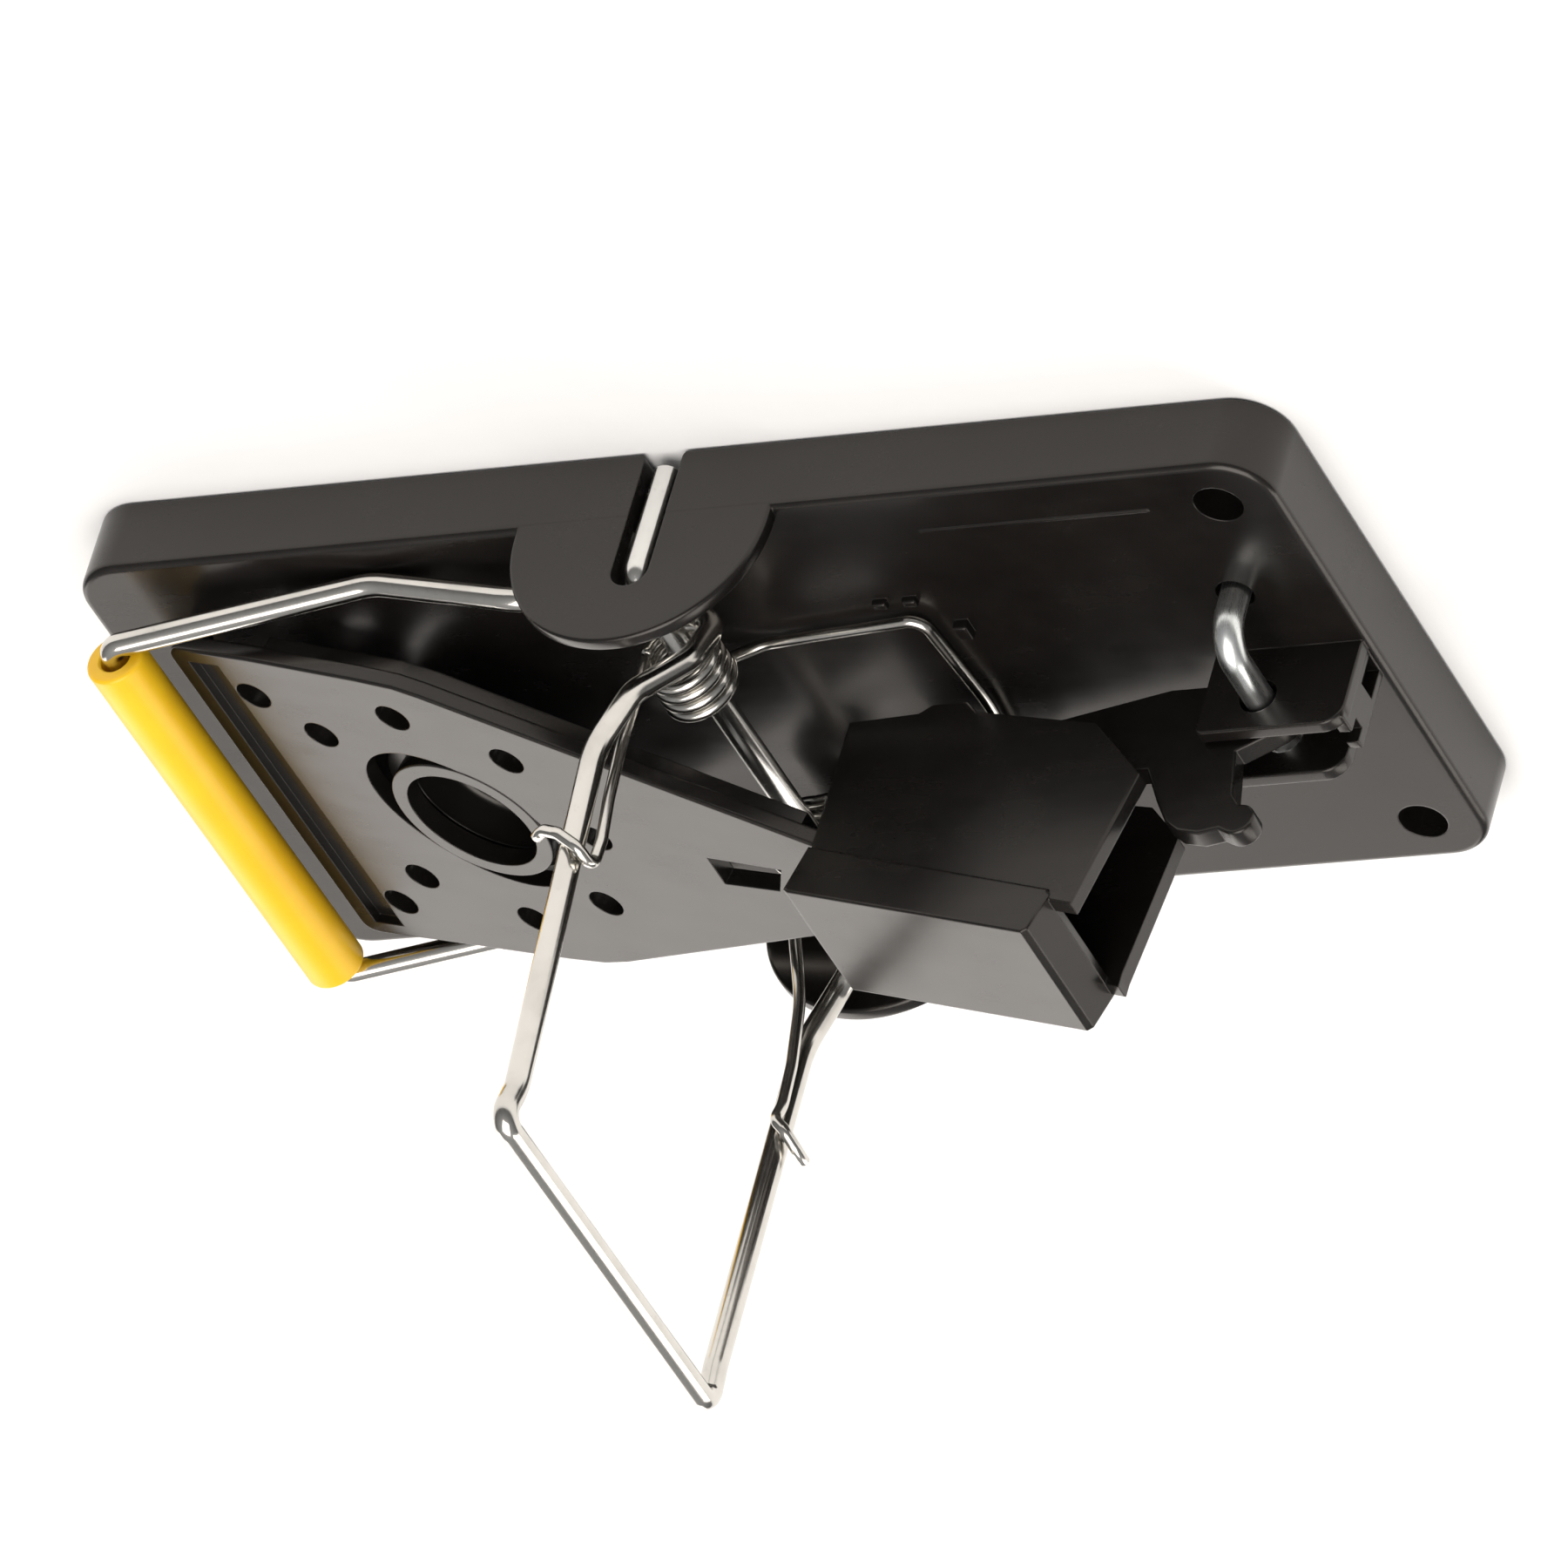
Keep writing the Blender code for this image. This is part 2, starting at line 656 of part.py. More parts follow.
def build():
    clear_scene()
    make_base(make_material("base_black_plastic", (0.045, 0.041, 0.038), 0.38, 0.0))
    make_axle(make_material("axle_bright_steel", (0.72, 0.71, 0.68), 0.22, 1.0))
    make_hinge_pin(make_material("pin_zinc_steel", (0.74, 0.76, 0.78), 0.3, 1.0))
    make_treadle(make_material("treadle_black_plastic", (0.045, 0.041, 0.038), 0.36, 0.0))
    make_bait_cup(make_material("cup_black_plastic", (0.03, 0.03, 0.03), 0.42, 0.0))
    make_striker(make_material("striker_bright_steel", (0.76, 0.75, 0.72), 0.18, 1.0))
    make_sleeve(make_material("sleeve_yellow_plastic", (1.0, 0.58, 0.015), 0.45, 0.0))
    make_spring(make_material("spring_bright_steel", (0.78, 0.77, 0.74), 0.2, 1.0))
    make_spring_leg("spring_leg_near", -1, make_material("near_leg_steel", (0.78, 0.77, 0.74), 0.2, 1.0))
    make_spring_leg("spring_leg_far", 1, make_material("far_leg_steel", (0.78, 0.77, 0.74), 0.2, 1.0))


build()
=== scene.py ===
"""Looks of the snap mouse trap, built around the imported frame.

Axes: +X runs from the hinge end to the kill-bar end, +Y across, +Z up.
Shapes are written in millimetres and turned into metres when a mesh is made.
"""

import math

import bmesh
import bpy
from mathutils import Matrix, Vector


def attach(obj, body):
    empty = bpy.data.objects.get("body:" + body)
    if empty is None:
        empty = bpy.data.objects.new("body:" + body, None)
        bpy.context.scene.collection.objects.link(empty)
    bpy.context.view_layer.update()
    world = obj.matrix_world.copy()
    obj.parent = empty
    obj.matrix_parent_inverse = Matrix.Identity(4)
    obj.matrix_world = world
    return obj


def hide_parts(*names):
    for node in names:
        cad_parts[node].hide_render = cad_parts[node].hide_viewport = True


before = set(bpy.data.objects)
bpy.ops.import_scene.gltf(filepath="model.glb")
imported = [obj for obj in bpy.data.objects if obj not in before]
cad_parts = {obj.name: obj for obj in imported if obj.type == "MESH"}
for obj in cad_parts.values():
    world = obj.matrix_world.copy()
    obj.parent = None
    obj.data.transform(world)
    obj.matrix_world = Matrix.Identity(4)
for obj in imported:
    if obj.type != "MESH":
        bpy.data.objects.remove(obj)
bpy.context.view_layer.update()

MM = 0.001

# base
BASE_HALF_X = 50.5
BASE_HALF_Y = 23.5
BASE_CORNER_R = 4.2
DECK_TOP = 6.5
DECK_UNDER = 3.6
EDGE_ROUND = 0.6
EDGE_STEPS = 6
FOOT_CHAMFER = 0.25
SKIRT = 1.6
NAIL_HOLE_X = -45.6
NAIL_HOLE_Y = 19.1
NAIL_HOLE_R = 1.9
SEAM_Y = 19.2
SEAM_HALF = 0.13
SEAM_HIGH = 0.1
SEAM_X = (-39.9, -20.9)

# ears that carry the axle
EAR_R = 10.8
EAR_X = 0.45
EAR_Z = 7.1
EAR_THICK = 1.3
EAR_RECESS = 0.03
SLOT_HALF = 1.6
SLOT_TOP = 12.75
SLOT_MOUTH = 2.4
SLOT_INNER_Y = 21.2

# axle and hinge pin
AXLE_X = 0.2
AXLE_Z = 11.4
AXLE_R = 1.05
AXLE_BEND_Y = 22.35
AXLE_TIP_Z = 1.1
PIN_X = -42.5
PIN_Z = 11.0
PIN_R = 1.15
PIN_HOLE_R = 1.5
PIN_FOOT = (-42.4, -8.9)
PIN_END_Y = 4.7
PIN_TIP_Z = 4.6

# hinge bracket on the base
BRACKET_NEAR = (-2.4, -1.2)
BRACKET_FAR = (2.5, 3.7)
NEAR_WALL_X = (-50.0, -37.9)
NEAR_WALL_TOP = 14.1
FAR_WALL_X = (-48.2, -38.6)
FAR_WALL_TOP = 14.6
BRACKET_CORNER_R = 1.8
BRACKET_FRONT_R = 0.6
REAR_WALL_X = (-49.9, -48.8)
REAR_WALL_Y = (-2.1, 1.7)
REAR_WALL_TOP = 13.4
REAR_SLOT_Y = (-0.8, 1.1)
REAR_SLOT_TOP = 9.3
REAR_NOTCH_Y = (-0.3, 0.9)
REAR_NOTCH_Z = (12.1, 14.0)

# lugs that locate the spring's ground loop, on each side of the middle
LUG_BEHIND_X = (-20.1, -19.0)
LUG_BEHIND_Y = (7.3, 8.8)
LUG_BEHIND_TOP = 7.4
LUG_SIDE_STARTS = (-17.2, -14.7)
LUG_SIDE_LONG = 1.1
LUG_SIDE_Y = (11.3, 12.0)
LUG_SIDE_TOP = 7.1

# treadle, measured along its own sloping top plane
PLATE_TILT = math.radians(13.54)
PLATE_ORIGIN_Z = 20.33
PLATE_THICK = 1.5
PLATE_FRONT = 44.8
PLATE_HALF_FRONT = 17.8
PLATE_CORNER_R = 1.3
RIB_DROP = 3.2
RIB_THICK = 1.1
RIB_INSET = 1.2
RIB_FRONT = 38.4
CUP_U = 24.9
MOUTH_R = 5.45
MOUTH_RING_R = 6.8
MOUTH_PROUD = 0.06
OVAL_U = 25.2
OVAL_LONG = 8.8
OVAL_SHORT = 6.6
RING_U = 25.7
RING_R = 12.5
RING_HOLE_R = 1.45
CHANNEL_U = (40.4, 43.2)
CHANNEL_HALF = 16.3
CHANNEL_DEEP = 0.8
CHANNEL_HOLE = (38.8, 12.9)

# upright feet under the treadle's front edge
FOOT_X = (41.4, 43.0)
FOOT_Y = (15.0, 16.6)
FOOT_Z = (6.85, 9.2)

# bait cup hung under the mouth ring, heights measured from the treadle's top plane
CUP_TOP = -1.8
CUP_FLANGE_R = 8.1
CUP_FLANGE = 0.8
CUP_OUTER = 6.3
CUP_INNER = 5.7
CUP_DEPTH = 6.0
CUP_FLOOR = 0.9
CUP_EDGE = 0.2
CUP_CORNER = 0.8

# trigger housing that stands on the rear of the treadle
HOUSE_NEAR = -3.4
HOUSE_FAR = 8.4
HOUSE_WALL = 1.4
HOUSE_PROUD = 0.25

# hinge arm and catch horn
ARM_Y = (-0.9, 0.9)
BOSS_R = 2.6
CATCH_X = -42.6
CATCH_Z = 21.2
CATCH_R = 1.35

# striker wire and its sleeve
WIRE_R = 0.95
BAR_X = 46.5
BAR_Z = 11.7
ARM_HALF = 20.5
SLEEVE_R = 2.4
SLEEVE_BORE = 1.25
SLEEVE_HALF = 19.3
SLEEVE_EDGE = 0.3
SLEEVE_BORE_EDGE = 0.15

# double torsion spring
SPRING_R = 0.475
COIL_R = 2.75
COIL_X = 1.0
COIL_Z = 11.1
COIL_IN_Y = 8.6
COIL_PITCH = 1.1
COIL_TURNS = 4.25
COIL_STEPS = 36

# rim radii of the moulded pieces
EAR_EDGE = 0.3
BRACKET_EDGE = 0.18
PLATE_EDGE = 0.28
MOUTH_EDGE = 0.15
SMALL_EDGE = 0.2
SEAM_EDGE = 0.05

# fineness of the shown meshes
WIRE_SIDES = 28
THICK_WIRE_SIDES = 36
SPRING_SIDES = 20
TURNED_SIDES = 96
HOLE_STEPS = 48
SMALL_HOLE_STEPS = 36
ROUND_STEPS = 4

# share of a wire's radius that its ends are rounded over
WIRE_END_ROUND = 0.22

# colours: two tones for each material, the first one the more common
BASE_BLACK = ((0.0065, 0.0055, 0.005), (0.012, 0.0105, 0.0095))
TREADLE_BLACK = ((0.006, 0.0053, 0.0048), (0.012, 0.0105, 0.0095))
CUP_BLACK = ((0.005, 0.0045, 0.004), (0.009, 0.008, 0.007))
SLEEVE_YELLOW = ((1.0, 0.61, 0.012), (0.96, 0.54, 0.010))
NICKEL = ((0.66, 0.64, 0.60), (0.48, 0.465, 0.435))
SPRING_NICKEL = ((0.66, 0.64, 0.60), (0.42, 0.41, 0.39))
AXLE_STEEL = ((0.76, 0.75, 0.72), (0.48, 0.465, 0.435))
PIN_ZINC = ((0.88, 0.90, 0.89), (0.72, 0.76, 0.77))
PAPER_WHITE = ((0.93, 0.93, 0.93), (0.95, 0.95, 0.95))
LAMP_WHITE = (1.0, 0.955, 0.91)
WARM_SHEEN = (1.0, 0.95, 0.90, 1.0)

# camera: place in metres, lens and sensor in millimetres
CAMERA_PLACE = (-0.617825, -0.881284, 0.747384)
CAMERA_RIGHT = (-0.87792755, 0.41643431, -0.2362746)
CAMERA_UP = (-0.07481368, -0.60673116, -0.79137868)
CAMERA_LENS = 400.0
SENSOR_WIDTH = 36.0

# floor and lights: lengths in metres, brightness of the surroundings
FLOOR_HALF = 2.5
LIT_POINT = (0.0, 0.0, 0.02)
HORIZON_LIGHT = 0.12
OVERHEAD_LIGHT = 0.42


# ---------------------------------------------------------------- mesh tools

def mesh_object(name, verts, faces):
    """A named object from points in millimetres, normals turned outward."""
    bm = bmesh.new()
    made = [bm.verts.new(Vector(v) * MM) for v in verts]
    for face in faces:
        bm.faces.new([made[i] for i in face])
    bmesh.ops.recalc_face_normals(bm, faces=bm.faces)
    mesh = bpy.data.meshes.new(name)
    bm.to_mesh(mesh)
    bm.free()
    item = bpy.data.objects.new(name, mesh)
    bpy.context.scene.collection.objects.link(item)
    return item


def loft(name, rings):
    """Join rings of equal length with side faces and close both ends."""
    count = len(rings[0])
    verts = [p for ring in rings for p in ring]
    faces = [list(range(count))]
    for k in range(len(rings) - 1):
        low = k * count
        for i in range(count):
            j = (i + 1) % count
            faces.append([low + i, low + j, low + count + j, low + count + i])
    faces.append([len(verts) - count + i for i in range(count)])
    return mesh_object(name, verts, faces)


def arc(cx, cy, radius, start, stop, steps):
    """Points on an arc, angles in degrees, both ends included."""
    out = []
    for k in range(steps + 1):
        a = math.radians(start + (stop - start) * k / steps)
        out.append((cx + radius * math.cos(a), cy + radius * math.sin(a)))
    return out


def circle(cx, cy, radius, steps=HOLE_STEPS):
    """Points round a full circle, without repeating the first."""
    return arc(cx, cy, radius, 0, 360 - 360 / steps, steps - 1)


def rounded_rect(x0, x1, y0, y1, radius, steps):
    """Outline of a rectangle whose corners are quarter arcs."""
    corners = [(x1, y1, 0), (x0, y1, 90), (x0, y0, 180), (x1, y0, 270)]
    out = []
    for x, y, start in corners:
        cx = x - radius if x == x1 else x + radius
        cy = y - radius if y == y1 else y + radius
        out += arc(cx, cy, radius, start, start + 90, steps)
    return out


def plate_point(u, v, w):
    """A point given along the treadle's slope, across it and above its top plane."""
    x = u * math.cos(PLATE_TILT) + w * math.sin(PLATE_TILT)
    z = PLATE_ORIGIN_Z - u * math.sin(PLATE_TILT) + w * math.cos(PLATE_TILT)
    return (x, v, z)


def inset(outline, distance):
    """Move every side of an outline inward by the same distance."""
    count = len(outline)
    area = sum(
        outline[i][0] * outline[(i + 1) % count][1] - outline[(i + 1) % count][0] * outline[i][1]
        for i in range(count)
    )
    side = 1.0 if area > 0 else -1.0
    out = []
    for i in range(count):
        p = Vector(outline[i - 1])
        q = Vector(outline[i])
        r = Vector(outline[(i + 1) % count])
        one = (q - p).normalized()
        two = (r - q).normalized()
        first = Vector((-one.y, one.x)) * side
        second = Vector((-two.y, two.x)) * side
        middle = (first + second).normalized()
        out.append(tuple(q + middle * (distance / max(0.35, middle.dot(first)))))
    return out


def rounded_rings(outline, low, high, radius, place):
    """Rings of a slab whose two rims are rounded over by the given radius."""
    rings = []
    for k in range(ROUND_STEPS + 1):
        a = math.radians(90.0 * k / ROUND_STEPS)
        shrink = radius * (1.0 - math.sin(a))
        ring = inset(outline, shrink) if shrink > 1e-6 else outline
        rings.append([place(p, q, low + radius * (1.0 - math.cos(a))) for p, q in ring])
    for k in range(ROUND_STEPS + 1):
        a = math.radians(90.0 * k / ROUND_STEPS)
        shrink = radius * (1.0 - math.cos(a))
        ring = inset(outline, shrink) if shrink > 1e-6 else outline
        rings.append([place(p, q, high - radius * (1.0 - math.sin(a))) for p, q in ring])
    return rings


def flat_rings(outline, low, high, place):
    return [[place(p, q, low) for p, q in outline], [place(p, q, high) for p, q in outline]]


def along_z(x, y, z):
    """Place an outline drawn in x and y, extruded along z."""
    return (x, y, z)


def along_y(x, z, y):
    """Place an outline drawn in x and z, extruded along y."""
    return (x, y, z)


def prism(name, outline, low, high, place, radius=0.0):
    """Extrude an outline between two levels, with rounded rims if a radius is given."""
    if radius:
        return loft(name, rounded_rings(outline, low, high, radius, place))
    return loft(name, flat_rings(outline, low, high, place))


def box(name, x, y, z, radius=0.0):
    """Block between two values on each axis."""
    outline = [(x[0], y[0]), (x[1], y[0]), (x[1], y[1]), (x[0], y[1])]
    return prism(name, outline, z[0], z[1], along_z, radius)


def bend_path(points, radii, steps=12):
    """Replace the inner corners of a polyline by arcs of the given radii."""
    pts = [Vector(p) for p in points]
    out = [pts[0]]
    for i in range(1, len(pts) - 1):
        before = (pts[i - 1] - pts[i]).normalized()
        after = (pts[i + 1] - pts[i]).normalized()
        half = before.angle(after) / 2.0
        room = min((pts[i - 1] - pts[i]).length, (pts[i + 1] - pts[i]).length) * 0.48
        reach = min(radii[i - 1] / math.tan(half), room)
        radius = reach * math.tan(half)
        centre = pts[i] + (before + after).normalized() * (radius / math.sin(half))
        first = pts[i] + before * reach - centre
        last = pts[i] + after * reach - centre
        turn = first.angle(last)
        for k in range(steps + 1):
            t = k / steps
            spread = math.sin(turn)
            spot = first * (math.sin((1 - t) * turn) / spread) + last * (math.sin(t * turn) / spread)
            out.append(centre + spot)
    out.append(pts[-1])
    return out


def wire(name, path, radius, sides=WIRE_SIDES):
    """Sweep a round section along a path, with a map of length and angle for its draw marks."""
    path = [Vector(p) for p in path]
    tangents = []
    for i in range(len(path)):
        a = path[max(i - 1, 0)]
        b = path[min(i + 1, len(path) - 1)]
        tangents.append((b - a).normalized())
    round_end = radius * WIRE_END_ROUND
    stations = [(path[0], tangents[0], radius - round_end)]
    stations += [(p, t, radius) for p, t in zip(path, tangents)]
    stations.append((path[-1], tangents[-1], radius - round_end))
    stations[1] = (path[0] + tangents[0] * round_end, tangents[0], radius)
    stations[-2] = (path[-1] - tangents[-1] * round_end, tangents[-1], radius)
    across = tangents[0].orthogonal().normalized()
    rings = []
    before = tangents[0]
    for point, tangent, reach in stations:
        across = before.rotation_difference(tangent) @ across
        across = (across - tangent * across.dot(tangent)).normalized()
        other = tangent.cross(across)
        before = tangent
        ring = []
        for k in range(sides):
            a = 2.0 * math.pi * k / sides
            ring.append(tuple(point + (across * math.cos(a) + other * math.sin(a)) * reach))
        rings.append(ring)
    item = loft(name, rings)
    map_wire(item.data, [s[0] for s in stations], sides)
    return item


def map_wire(mesh, centres, sides):
    """Store on each corner the length along the wire and the angle round it."""
    lengths = [0.0]
    for a, b in zip(centres, centres[1:]):
        lengths.append(lengths[-1] + (b - a).length)
    layer = mesh.uv_layers.new(name="along_wire")
    for loop in mesh.loops:
        station, side = divmod(loop.vertex_index, sides)
        layer.data[loop.index].uv = (lengths[station] * 0.01, side / sides)


def combine(target, tool, operation):
    """Apply one exact Boolean and delete the tool."""
    mod = target.modifiers.new("cut", "BOOLEAN")
    mod.operation = operation
    mod.solver = "EXACT"
    mod.object = tool
    bpy.context.view_layer.update()
    graph = bpy.context.evaluated_depsgraph_get()
    mesh = bpy.data.meshes.new_from_object(target.evaluated_get(graph))
    target.modifiers.clear()
    target.data = mesh
    bpy.data.objects.remove(tool, do_unlink=True)
    return target


def add(target, tool):
    return combine(target, tool, "UNION")


def cut(target, tool):
    return combine(target, tool, "DIFFERENCE")


def dress(item, mat, body, node, smooth_angle):
    """Shade the piece, seat it on its body and let it stand for its CAD node."""
    item.data.name = item.name
    item.data.materials.clear()
    item.data.materials.append(mat)
    for polygon in item.data.polygons:
        polygon.material_index = 0
    bm = bmesh.new()
    bm.from_mesh(item.data)
    bmesh.ops.recalc_face_normals(bm, faces=bm.faces)
    bm.to_mesh(item.data)
    bm.free()
    item.data.shade_smooth()
    item.data.set_sharp_from_angle(angle=math.radians(smooth_angle))
    weighted = item.modifiers.new("weighted", "WEIGHTED_NORMAL")
    weighted.keep_sharp = True
    weighted.weight = 100
    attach(item, body)
    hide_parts(node)
    return item


# ---------------------------------------------------------------- materials

class Nodes:
    """Short calls for building a material's node tree."""

    def __init__(self, name):
        self.mat = bpy.data.materials.new(name)
        self.mat.use_nodes = True
        self.tree = self.mat.node_tree
        self.shader = self.tree.nodes["Principled BSDF"]

    def new(self, kind, **settings):
        node = self.tree.nodes.new(kind)
        for key, value in settings.items():
            setattr(node, key, value)
        return node

    def link(self, source, target):
        self.tree.links.new(source, target)

    def place(self, scale, output="Object"):
        """Texture position stretched by a scale along each axis."""
        coordinates = self.new("ShaderNodeTexCoord")
        mapping = self.new("ShaderNodeMapping")
        mapping.inputs["Scale"].default_value = scale
        self.link(coordinates.outputs[output], mapping.inputs["Vector"])
        return mapping.outputs["Vector"]

    def noise(self, vector, scale, detail=3.0, rough=0.55):
        node = self.new("ShaderNodeTexNoise")
        node.inputs["Scale"].default_value = scale
        node.inputs["Detail"].default_value = detail
        node.inputs["Roughness"].default_value = rough
        self.link(vector, node.inputs["Vector"])
        return node.outputs["Fac"]

    def spread(self, value, to_low, to_high, low=0.3, high=0.7):
        """Turn the range low to high, by default a noise's useful one, into another range."""
        node = self.new("ShaderNodeMapRange")
        node.inputs["From Min"].default_value = low
        node.inputs["From Max"].default_value = high
        node.inputs["To Min"].default_value = to_low
        node.inputs["To Max"].default_value = to_high
        self.link(value, node.inputs["Value"])
        return node.outputs["Result"]

    def sum(self, first, second):
        node = self.new("ShaderNodeMath", operation="ADD")
        self.link(first, node.inputs[0])
        self.link(second, node.inputs[1])
        return node.outputs["Value"]

    def colour(self, factor, first, second):
        node = self.new("ShaderNodeMix", data_type="RGBA")
        self.link(factor, node.inputs["Factor"])
        node.inputs["A"].default_value = (*first, 1.0)
        node.inputs["B"].default_value = (*second, 1.0)
        return node.outputs["Result"]

    def bump(self, height, strength, distance, under=None):
        node = self.new("ShaderNodeBump")
        node.inputs["Strength"].default_value = strength
        node.inputs["Distance"].default_value = distance
        self.link(height, node.inputs["Height"])
        if under is not None:
            self.link(under, node.inputs["Normal"])
        return node.outputs["Normal"]

    def soft_edges(self, radius):
        """Normals rounded over sharp edges, as moulded corners are."""
        node = self.new("ShaderNodeBevel", samples=6)
        node.inputs["Radius"].default_value = radius
        return node.outputs["Normal"]

    def plug(self, **sockets):
        """Link outputs to the shader; an underscore in a socket's name stands for a space."""
        for key, source in sockets.items():
            self.link(source, self.shader.inputs[key.replace("_", " ")])


def black_plastic(name, dark, light, rough):
    """Satin moulded plastic: fine texture, faint flow marks and slight dust."""
    n = Nodes(name)
    even = n.place((1, 1, 1))
    streak = n.place((0.12, 1.0, 1.0))
    grain = n.noise(even, 2600, 2.0)
    mottle = n.noise(even, 130, 4.0, 0.6)
    flow = n.noise(streak, 420, 3.0, 0.6)
    dust = n.spread(n.noise(even, 900, 6.0, 0.7), 0.0, 1.0, low=0.66, high=0.80)
    tone = n.sum(n.spread(mottle, 0.0, 0.75), n.spread(dust, 0.0, 0.25, low=0.0, high=1.0))
    n.plug(Base_Color=n.colour(tone, dark, light))
    gloss = n.sum(n.spread(mottle, -0.03, 0.04), n.spread(flow, rough - 0.02, rough + 0.03))
    n.plug(Roughness=n.sum(gloss, n.spread(dust, 0.0, 0.05, low=0.0, high=1.0)))
    fine = n.spread(grain, 0.0, 0.6, low=0.2, high=0.8)
    relief = n.sum(fine, n.spread(flow, 0.0, 0.4, low=0.2, high=0.8))
    n.plug(Normal=n.bump(relief, 0.10, 0.00002, n.soft_edges(0.00018)))
    n.shader.inputs["IOR"].default_value = 1.5
    n.shader.inputs["Specular Tint"].default_value = WARM_SHEEN
    return n.mat


def drawn_wire(name, bright, dull, rough):
    """Bright plated wire with fine draw marks along its length and duller patches."""
    n = Nodes(name)
    marks = n.noise(n.place((3.0, 90.0, 1.0), "UV"), 1.0, 5.0, 0.65)
    even = n.place((1, 1, 1))
    patches = n.noise(even, 240, 4.0, 0.6)
    specks = n.spread(n.noise(even, 1500, 4.0, 0.65), 0.0, 1.0, low=0.60, high=0.72)
    tone = n.sum(n.spread(patches, 0.0, 0.55, low=0.42, high=0.75),
                 n.spread(specks, 0.0, 0.35, low=0.0, high=1.0))
    n.plug(Base_Color=n.colour(tone, bright, dull))
    n.plug(Roughness=n.sum(n.spread(marks, rough - 0.03, rough + 0.05),
                           n.spread(tone, 0.0, 0.12, low=0.0, high=1.0)))
    n.plug(Normal=n.bump(marks, 0.25, 0.00001))
    n.shader.inputs["Metallic"].default_value = 1.0
    return n.mat


def yellow_plastic(name, bright, deep):
    """Extruded tube: clean yellow with faint lines along its length."""
    n = Nodes(name)
    lines = n.noise(n.place((1.0, 0.02, 1.0)), 1500, 3.0, 0.6)
    cloud = n.noise(n.place((1, 1, 1)), 120, 4.0, 0.6)
    n.plug(Base_Color=n.colour(n.spread(cloud, 0.0, 1.0), bright, deep))
    n.plug(Roughness=n.sum(n.spread(lines, 0.36, 0.44), n.spread(cloud, -0.03, 0.03)))
    n.plug(Normal=n.bump(lines, 0.25, 0.00002, n.soft_edges(0.00012)))
    n.shader.inputs["Subsurface Weight"].default_value = 0.12
    n.shader.inputs["Subsurface Radius"].default_value = (1.0, 0.6, 0.1)
    n.shader.inputs["Subsurface Scale"].default_value = 0.001
    return n.mat


def floor_paper(name):
    """Matt white paper with a slight fibre."""
    n = Nodes(name)
    fibre = n.noise(n.place((1, 1, 1)), 400, 5.0, 0.6)
    n.plug(Base_Color=n.colour(fibre, *PAPER_WHITE))
    n.plug(Roughness=n.spread(fibre, 0.85, 0.95))
    n.shader.inputs["Specular IOR Level"].default_value = 0.1
    return n.mat


# ---------------------------------------------------------------- base

def base_slab():
    """Deck and skirts with a small rounded top edge, hollow underneath."""
    outline = rounded_rect(-BASE_HALF_X, BASE_HALF_X, -BASE_HALF_Y, BASE_HALF_Y, BASE_CORNER_R, 12)
    rings = [
        [(x, y, 0.0) for x, y in inset(outline, FOOT_CHAMFER)],
        [(x, y, FOOT_CHAMFER) for x, y in outline],
    ]
    for k in range(EDGE_STEPS + 1):
        a = math.radians(90.0 * k / EDGE_STEPS)
        shrink = EDGE_ROUND * (1.0 - math.cos(a))
        height = DECK_TOP - EDGE_ROUND * (1.0 - math.sin(a))
        rings.append([(x, y, height) for x, y in inset(outline, shrink)])
    body = loft("base_moulding", rings)
    x = BASE_HALF_X - SKIRT
    y = BASE_HALF_Y - SKIRT
    hollow = rounded_rect(-x, x, -y, y, BASE_CORNER_R - SKIRT, 8)
    return cut(body, prism("hollow", hollow, -1.0, DECK_UNDER, along_z))


def add_ear(body, side):
    """Half-round ear almost flush with the side wall, with its open-ended axle slot."""
    low, high = sorted((side * (BASE_HALF_Y - EAR_RECESS), side * (BASE_HALF_Y - EAR_THICK)))
    outline = arc(EAR_X, EAR_Z, EAR_R, 0, 180, 72)
    outline += [(EAR_X - EAR_R, 1.0), (EAR_X + EAR_R, 1.0)]
    add(body, prism("ear", outline, low, high, along_y, EAR_EDGE))
    slot = arc(AXLE_X, SLOT_TOP - SLOT_HALF, SLOT_HALF, 0, 180, 24)
    flare = SLOT_MOUTH - SLOT_HALF
    slot += arc(AXLE_X - SLOT_MOUTH, flare, flare, 0, -90, 10)
    slot += [(AXLE_X - SLOT_MOUTH, -1.0), (AXLE_X + SLOT_MOUTH, -1.0)]
    slot += arc(AXLE_X + SLOT_MOUTH, flare, flare, 270, 180, 10)
    low, high = sorted((side * SLOT_INNER_Y, side * (BASE_HALF_Y + 1.0)))
    cut(body, prism("slot", slot, low, high, along_y))


def bracket_outline(rear, front, top):
    """Side view of a bracket wall, reaching into the deck, its two top corners rounded."""
    r = BRACKET_CORNER_R
    out = arc(rear + r, top - r, r, 180, 90, 10)
    r = BRACKET_FRONT_R
    out += arc(front - r, top - r, r, 90, 0, 5)
    out += [(front, DECK_TOP - 1.0), (rear, DECK_TOP - 1.0)]
    return out


